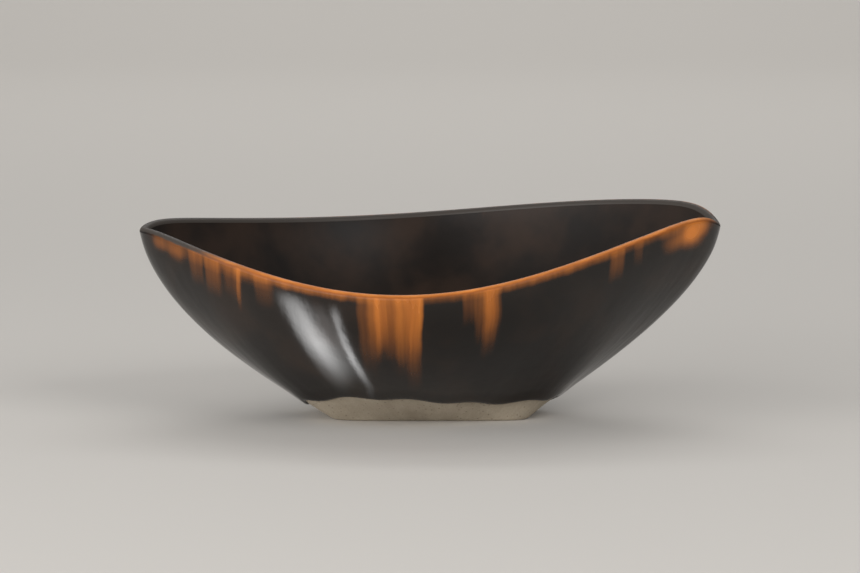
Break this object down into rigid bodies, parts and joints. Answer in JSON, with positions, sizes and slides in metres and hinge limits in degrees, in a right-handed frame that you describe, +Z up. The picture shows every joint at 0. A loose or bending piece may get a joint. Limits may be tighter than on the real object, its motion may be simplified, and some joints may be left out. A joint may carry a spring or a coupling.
{
  "type": "bowl",
  "caption": "Leaf-shaped stoneware bowl with raised ends, a low front and a bare squared foot, glazed dark inside and out with a rust-coloured lip.",
  "frame": {"origin": "centre of the foot's underside, on the table", "axes": "+Z up out of the bowl, +X along the length to the picture's right end, -Y to the low front that the picture is taken from"},
  "size_m": [0.24, 0.158, 0.0871],
  "materials": {
    "bare_clay": "matte, fired and unglazed",
    "dark_glaze": "gloss",
    "rust_glaze": "gloss",
    "liner_glaze": "gloss"
  },
  "bodies": {
    "root": {"clay_body": "bare_clay", "outer_glaze": "dark_glaze", "rim_glaze": "rust_glaze", "inner_glaze": "liner_glaze"}
  },
  "joints": []
}
